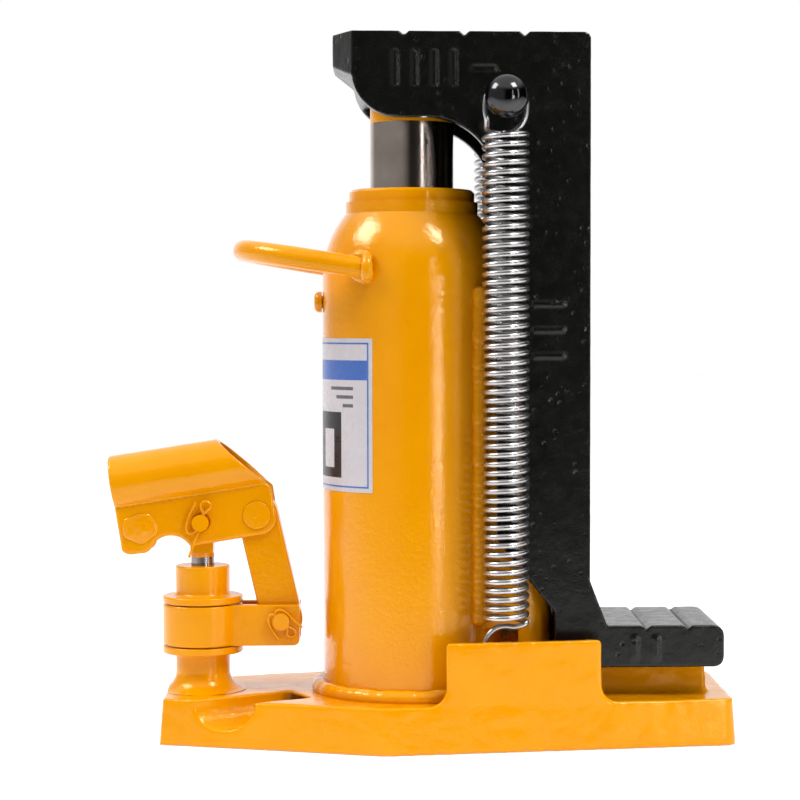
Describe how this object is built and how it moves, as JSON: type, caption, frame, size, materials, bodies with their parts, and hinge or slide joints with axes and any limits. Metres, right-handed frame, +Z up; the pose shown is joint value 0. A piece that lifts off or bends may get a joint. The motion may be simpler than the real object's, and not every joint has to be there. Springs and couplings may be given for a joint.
{
  "type": "toe jack",
  "caption": "Hydraulic toe jack: a ram and tank lift a sliding claw with a head and a low toe, worked by a swivelling hand pump, with a return spring each side.",
  "frame": {"origin": "on the underside of the base, on the ram axis", "axes": "+Z up along the ram, +X towards the toe, +Y away from the release valve's side"},
  "size_m": [0.295, 0.133, 0.3305],
  "materials": {
    "yellow_enamel": "gloss",
    "black_enamel": "semi-gloss over a cast surface",
    "ground_steel": "ground",
    "bore_steel": "turned",
    "zinc_wire": "bright zinc",
    "stud_black": "gloss black",
    "seal_rubber": "matte",
    "label_film": "gloss film"
  },
  "bodies": {
    "base": {"base_casting": "yellow_enamel", "tank": "yellow_enamel", "tank_weld": "yellow_enamel", "lift_cylinder": "bore_steel", "gland_nut": "yellow_enamel", "gland_wiper": "seal_rubber", "guide_block": "yellow_enamel", "guide_welds": "yellow_enamel", "carry_handle": "yellow_enamel", "filler_plug": "yellow_enamel", "spring_anchors": "bore_steel", "spring_hooks_lower": "zinc_wire", "spring_coil_near": "zinc_wire", "spring_coil_far": "zinc_wire", "pump_barrel": "yellow_enamel", "pump_gland": "yellow_enamel", "pump_seal": "seal_rubber", "check_balls": "bore_steel", "check_plugs": "bore_steel", "rating_label": "label_film"},
    "ram": {"ram_rod": "ground_steel", "ram_head": "yellow_enamel", "piston": "bore_steel", "piston_seal": "seal_rubber"},
    "claw": {"claw_casting": "black_enamel", "spring_studs": "stud_black", "spring_hooks_upper": "zinc_wire"},
    "yoke": {"yoke": "yellow_enamel", "link_pin": "yellow_enamel", "link_split_pin": "yellow_enamel"},
    "link": {"link_arm": "yellow_enamel"},
    "socket": {"handle_socket": "yellow_enamel", "link_rivet": "yellow_enamel", "socket_rivet": "yellow_enamel", "plunger_pin": "yellow_enamel", "plunger_split_pin": "yellow_enamel"},
    "plunger": {"pump_plunger": "ground_steel", "plunger_eye": "yellow_enamel"},
    "release_valve": {"release_screw": "bore_steel"}
  },
  "joints": [
    {"name": "claw_lift", "type": "slide", "parent": "base", "child": "claw", "axis": [0, 0, 1], "range_m": [0, 0.11], "stiffness_N_per_m": 900, "springref_m": -0.05, "deforming": ["spring_coil_near", "spring_coil_far"]},
    {"name": "ram_lift", "type": "slide", "parent": "base", "child": "ram", "axis": [0, 0, 1], "range_m": [0, 0.11]},
    {"name": "yoke_swivel", "type": "hinge", "parent": "base", "child": "yoke", "pos_m": [-0.1, 0, 0.053], "axis": [0, 0, 1], "continuous": true},
    {"name": "link_pivot", "type": "hinge", "parent": "yoke", "child": "link", "pos_m": [-0.0621, 0, 0.0551], "axis": [0, 1, 0], "range_deg": [-1.5, 0]},
    {"name": "lever_pivot", "type": "hinge", "parent": "link", "child": "socket", "pos_m": [-0.0737, 0, 0.1051], "axis": [0, 1, 0], "range_deg": [-12, 25]},
    {"name": "plunger_stroke", "type": "slide", "parent": "yoke", "child": "plunger", "axis": [0, 0, 1], "range_m": [-0.0056, 0.0116]},
    {"name": "release_turn", "type": "hinge", "parent": "base", "child": "release_valve", "pos_m": [-0.053, -0.017, 0.013], "axis": [0.866, 0.5, 0], "range_deg": [0, 180]}
  ],
  "couplings": [
    {"joint": "ram_lift", "follows": "claw_lift", "ratio": 1},
    {"joint": "plunger_stroke", "follows": "lever_pivot", "m_per_rad": 0.0262}
  ]
}
